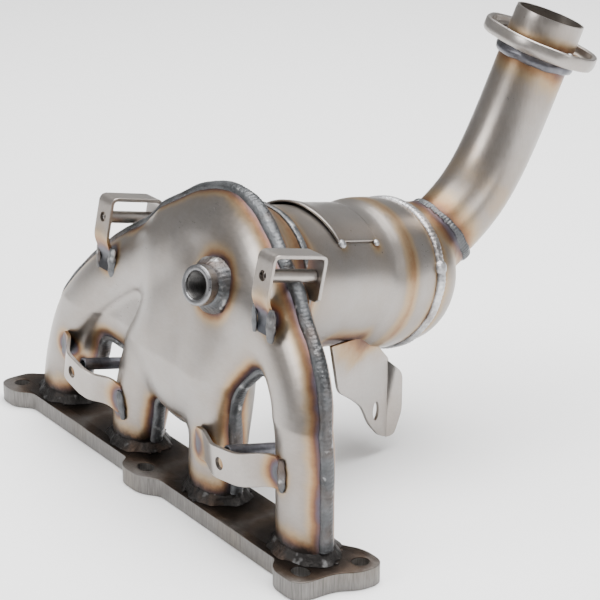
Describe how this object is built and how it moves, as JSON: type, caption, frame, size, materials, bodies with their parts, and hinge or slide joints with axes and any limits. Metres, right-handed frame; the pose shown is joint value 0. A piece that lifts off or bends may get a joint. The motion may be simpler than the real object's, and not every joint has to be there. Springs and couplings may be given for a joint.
{
  "type": "exhaust manifold",
  "caption": "Fabricated exhaust manifold whose runners merge in a pressed clamshell and feed a catalytic converter and flanged outlet pipe.",
  "frame": {"origin": "centre of the gasket face of the head flange, midway between the second and third ports", "axes": "+X along the head flange towards the wide right-hand end, +Y towards the converter outlet, +Z away from the cylinder head"},
  "size_m": [0.3785, 0.3481, 0.2888],
  "materials": {
    "flange": "laser-cut plate, oxidised brown-black",
    "shell": "satin pressed stainless with gold heat tint",
    "can": "rolled stainless, lightly brushed",
    "weld": "rippled grey weld bead",
    "bung": "turned steel",
    "bracket": "pale satin stamped steel",
    "pipe": "mandrel-bent tube, drawn surface",
    "ceramic": "unglazed honeycomb ceramic",
    "mat": "vermiculite fibre mat",
    "mesh": "knitted steel wire"
  },
  "bodies": {
    "root": {"head_flange": "flange", "front_shell": "shell", "rear_shell": "shell", "oxygen_sensor_bung": "bung", "converter_can": "can", "patch_plate": "can", "outlet_cone": "can", "outlet_pipe": "pipe", "outlet_flange": "bracket", "support_bracket": "bracket", "catalyst_brick_front": "ceramic", "catalyst_brick_rear": "ceramic", "support_mat_front": "mat", "support_mat_rear": "mat", "end_seal_inlet": "mesh", "end_seal_outlet": "mesh", "heat_shield_bracket_upper_left": "bracket", "spacer_tube_upper_left": "bracket", "heat_shield_bracket_upper_right": "bracket", "spacer_tube_upper_right": "bracket", "heat_shield_bracket_lower_left": "bracket", "spacer_tube_lower_left": "bracket", "heat_shield_bracket_lower_right": "bracket", "spacer_tube_lower_right": "bracket", "outer_seam_weld": "weld", "gap_seam_weld_1": "weld", "gap_seam_weld_2": "weld", "gap_seam_weld_3": "weld", "port_weld_1": "weld", "port_weld_2": "weld", "port_weld_3": "weld", "port_weld_4": "weld", "bung_weld": "weld", "inlet_weld": "weld", "outlet_weld": "weld", "pipe_weld": "weld", "flange_weld": "weld", "patch_spot_weld_1": "weld", "patch_spot_weld_2": "weld"}
  },
  "joints": []
}
